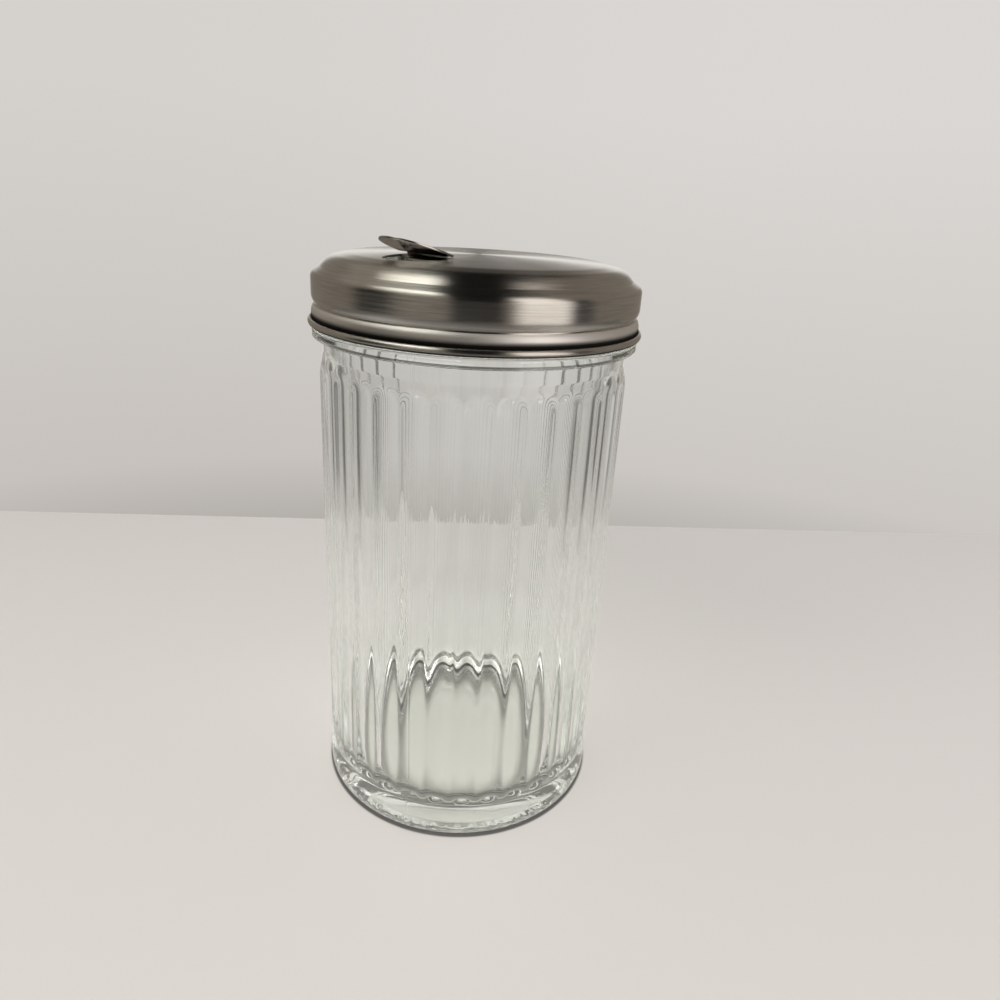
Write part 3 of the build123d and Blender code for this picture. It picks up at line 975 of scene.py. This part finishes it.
def build_floor():
    """The pale table, out to the line where the wall stands."""
    edge = WALL_DISTANCE * MM
    lean = FLOOR_WIDE * WALL_SLOPE
    mesh = bpy.data.meshes.new("floor")
    mesh.from_pydata([
        (-FLOOR_WIDE, FLOOR_NEAR, 0), (FLOOR_WIDE, FLOOR_NEAR, 0),
        (FLOOR_WIDE, edge + lean, 0), (-FLOOR_WIDE, edge - lean, 0),
    ], [], [(0, 1, 2, 3)])
    floor = add_object("floor", mesh)
    mat, nodes, links, paint = material("floor_paint")
    paint.inputs["Roughness"].default_value = 0.6
    paint.inputs["Specular IOR Level"].default_value = 0.2
    place, x, y, _ = coordinates(nodes, links, "Object")
    path = nodes.new("ShaderNodeLightPath")
    # Painted shadow: all but the camera see the table dark in front, under whoever leans over it, and
    # to either side
    front = math_node(
        nodes, links, "MAXIMUM", ramp(nodes, links, y, FLOOR_DARK_Y, FLOOR_PALE_Y),
        math_node(nodes, links, "MULTIPLY", path.outputs["Is Transmission Ray"], GLASS_SEES),
    )
    shade = math_node(
        nodes, links, "MULTIPLY", front,
        ramp(nodes, links, math_node(nodes, links, "ABSOLUTE", x), *FLOOR_SIDE, 1.0, 0.0),
    )
    shade = math_node(nodes, links, "MAXIMUM", shade, path.outputs["Is Camera Ray"])
    length = nodes.new("ShaderNodeVectorMath")
    length.operation = "LENGTH"
    links.new(place, length.inputs[0])
    radius = length.outputs["Value"]
    pale = mix_color(
        nodes, links, ramp(nodes, links, y, FLOOR_FAR_Y, FLOOR_DIM_Y), FLOOR_FAR_COLOR, FLOOR_COLOR
    )
    tone = mix_color(nodes, links, shade, FLOOR_SHADOW_COLOR, pale)
    under_foot = math_node(nodes, links, "MULTIPLY", window_between(
        nodes, links, radius, (FOOT_R - 1.6) * MM, (FOOT_R - 0.1) * MM, 0.7 * MM
    ), CONTACT_SHADE)
    tone = mix_color(nodes, links, under_foot, tone, CONTACT_COLOR)
    links.new(tone, paint.inputs["Base Color"])
    gone = math_node(
        nodes, links, "MULTIPLY", mirror_rays(nodes, links, path),
        ramp(nodes, links, radius, TABLE_REACH, TABLE_REACH + TABLE_BLUR),
    )
    clear = nodes.new("ShaderNodeBsdfTransparent")
    mix_shaders(
        nodes, links, gone, paint.outputs["BSDF"], clear.outputs["BSDF"],
        nodes["Material Output"].inputs["Surface"],
    )
    mesh.materials.append(mat)


def color_ramp(nodes, links, value, stops):
    """A colour ramp over a socket, from (position, colour) stops."""
    node = nodes.new("ShaderNodeValToRGB")
    ramp_stops = node.color_ramp.elements
    while len(ramp_stops) < len(stops):
        ramp_stops.new(0.5)
    for stop, (position, color) in zip(ramp_stops, stops):
        stop.position = position
        stop.color = (*color, 1)
    links.new(value, node.inputs["Fac"])
    return node.outputs["Color"]


# Wall and ambient light
WALL_STOPS = (  # places of a colour ramp from straight down to straight up; the wall is painted darker towards its foot, as shade
    (0.295, (0.45, 0.43, 0.40)),
    (0.34, (0.60, 0.57, 0.545)),
    (0.55, (0.70, 0.68, 0.655)),
)
WALL_LEFT_SHADE = (0.95, 0.945, 0.94, 1)  # the wall dims a little towards the left
WALL_LEFT_REACH = (-0.45, 0.35)  # between these parts of the direction to the right
AMBIENT_COLOR = (1.0, 0.985, 0.97, 1)
AMBIENT_STRENGTH = 0.5

# The room that reflections see, each thing painted over the ones before it: azimuth limits from
# the front to the right and their blur in degrees, limits of the sine of the rise and their blur,
# and colour
ROOM_COLOR = (0.24, 0.21, 0.18, 1)
ROOM = {
    "ceiling": ((-170, -60), 30, (0.6, 1.2), 0.15, (0.34, 0.31, 0.26, 1)),
    "wall behind, left": ((-200, -168), 14, (-0.6, 0.16), 0.1, (0.92, 0.90, 0.87, 1)),
    "wall behind, right": ((168, 200), 14, (-0.6, 0.16), 0.1, (0.92, 0.90, 0.87, 1)),
    "curtain left": ((-78, -66), 20, (-0.9, 0.4), 0.2, (0.02, 0.02, 0.018, 1)),
    "curtain right": ((70, 78), 12, (-0.9, 0.5), 0.2, (0.07, 0.065, 0.06, 1)),
    "high window left": ((-100, -40), 14, (0.78, 0.96), 0.1, (2.6, 2.55, 2.35, 1)),
    "tall window right": ((34, 58), 14, (-0.9, 0.80), 0.12, (1.5, 1.4, 1.33, 1)),
}
# The room that glass sees past the wall, from these parts of the direction: to either side, in
# front of the wall, and up
BEYOND_COLOR = (0.17, 0.165, 0.15, 1)
BEYOND_SIDE, BEYOND_FRONT, BEYOND_UP = (0.5, 0.8), (-0.1, 0.2), (0.22, 0.5)

# Whoever leans over the jar: a dark strip overhead, in parts of the direction's length
ONLOOKER_COLOR = (0.008, 0.008, 0.007, 1)
ONLOOKER_SIDES, ONLOOKER_SIDE_BLUR = (-0.20, 0.22), 0.18
ONLOOKER_LEAN = 0.6  # the strip starts behind the jar, where rise passes this part of the depth
ONLOOKER_EDGE = (-0.2, 0.1)


def build_world():
    """The room: a pale wall for the camera and the glass, and its dim front for reflections."""
    world = bpy.data.worlds.new("room")
    bpy.context.scene.world = world
    world.use_nodes = True
    nodes, links = world.node_tree.nodes, world.node_tree.links
    ambient = nodes["Background"]
    ambient.inputs["Color"].default_value = AMBIENT_COLOR
    ambient.inputs["Strength"].default_value = AMBIENT_STRENGTH

    _, x, y, z = coordinates(nodes, links, "Generated")
    rise = ramp(nodes, links, z, -1, 1)
    rise.node.interpolation_type = "LINEAR"
    wall = color_ramp(nodes, links, rise, WALL_STOPS)
    wall = mix_color(
        nodes, links, ramp(nodes, links, x, *WALL_LEFT_REACH, 1.0, 0.0),
        wall, WALL_LEFT_SHADE, "MULTIPLY",
    )

    turn = math_node(nodes, links, "MULTIPLY", math_node(
        nodes, links, "ARCTAN2", x, math_node(nodes, links, "MULTIPLY", y, -1.0)
    ), 180 / math.pi)
    room = ROOM_COLOR
    for azimuths, side_blur, rises, rise_blur, color in ROOM.values():
        pane = math_node(
            nodes, links, "MULTIPLY",
            window_between(nodes, links, turn, *azimuths, side_blur),
            window_between(nodes, links, z, *rises, rise_blur),
        )
        room = mix_color(nodes, links, pane, room, color)
    over = math_node(
        nodes, links, "SUBTRACT", z, math_node(nodes, links, "MULTIPLY", y, ONLOOKER_LEAN)
    )
    onlooker = math_node(
        nodes, links, "MULTIPLY", ramp(nodes, links, over, *ONLOOKER_EDGE),
        window_between(nodes, links, x, *ONLOOKER_SIDES, ONLOOKER_SIDE_BLUR),
    )
    room = mix_color(nodes, links, onlooker, room, ONLOOKER_COLOR)

    path = nodes.new("ShaderNodeLightPath")
    aside = ramp(nodes, links, math_node(nodes, links, "ABSOLUTE", x), *BEYOND_SIDE)
    ahead = ramp(nodes, links, y, *BEYOND_FRONT, 1.0 - GLASS_SEES, 0.0)
    passed = math_node(
        nodes, links, "MULTIPLY", path.outputs["Is Transmission Ray"],
        math_node(
            nodes, links, "MAXIMUM", math_node(nodes, links, "MAXIMUM", aside, ahead),
            ramp(nodes, links, z, *BEYOND_UP),
        ),
    )
    wall = mix_color(nodes, links, passed, wall, BEYOND_COLOR)
    shown = nodes.new("ShaderNodeBackground")
    links.new(
        mix_color(nodes, links, mirror_rays(nodes, links, path), wall, room), shown.inputs["Color"]
    )
    seen = math_node(nodes, links, "MAXIMUM", path.outputs["Is Camera Ray"], math_node(
        nodes, links, "MAXIMUM", path.outputs["Is Glossy Ray"], path.outputs["Is Transmission Ray"]
    ))
    mix_shaders(
        nodes, links, seen, ambient.outputs["Background"], shown.outputs["Background"],
        nodes["World Output"].inputs["Surface"],
    )


# Lamps: azimuth from the front to the right, elevation, width, height, watts, colour
WINDOWS = {
    "window_left": (-36.5, 24, 1.15, 1.1, 12, (1.0, 0.97, 0.92)),
    "window_right": (57.5, 12, 1.0, 0.8, 9, (1.0, 0.95, 0.95)),
}
WINDOW_DISTANCE = 1.1  # metres, like the sizes
WINDOW_AIM = Vector((0, 0, 0.07))


def window(name, azimuth, elevation, width, height, power, color):
    """A soft rectangular light that looks at the jar's middle and that steel doesn't mirror."""
    light = bpy.data.lights.new(name, "AREA")
    light.shape = "RECTANGLE"
    light.size, light.size_y = width, height
    light.energy = power
    light.color = color
    lamp = add_object(name, light)
    lamp.visible_glossy = False
    a, e = math.radians(azimuth), math.radians(elevation)
    out = Vector((math.sin(a) * math.cos(e), -math.cos(a) * math.cos(e), math.sin(e)))
    lamp.location = out * WINDOW_DISTANCE + WINDOW_AIM
    lamp.rotation_mode = "QUATERNION"
    lamp.rotation_quaternion = out.to_track_quat("Z", "Y")


def build_camera():
    """The photograph's viewpoint, with its place in millimetres in front of the jar's axis."""
    distance, height = 177.417, 147.148
    yaw, pitch, roll = math.radians(2.575), math.radians(21.917), math.radians(-3.356)
    focal = 0.75189  # of the image's width
    ahead = Vector((
        math.sin(yaw) * math.cos(pitch), math.cos(yaw) * math.cos(pitch), -math.sin(pitch)
    ))
    level = Vector((math.cos(yaw), -math.sin(yaw), 0))
    down = ahead.cross(level)
    right = math.cos(roll) * level + math.sin(roll) * down
    down = ahead.cross(right)
    camera = bpy.data.cameras.new("camera")
    camera.sensor_width = 36
    camera.lens = focal * camera.sensor_width
    camera.clip_start = 0.01
    eye = add_object("camera", camera)
    turn = Matrix((right, -down, -ahead)).transposed()
    eye.matrix_world = Matrix.Translation(Vector((0, -distance, height)) * MM) @ turn.to_4x4()
    bpy.context.scene.camera = eye


# ---------------------------------------------------------------- the scene

bpy.context.scene.view_settings.view_transform = "Standard"
cycles = bpy.context.scene.cycles
cycles.max_bounces = 40
cycles.glossy_bounces = 32
cycles.transmission_bounces = 32
build_camera()
build_jar()
build_lid()
dress_cad_node("hinge_pin", pin_material())
build_flap()
build_floor()
build_world()
for lamp_name, lamp_values in WINDOWS.items():
    window(lamp_name, *lamp_values)
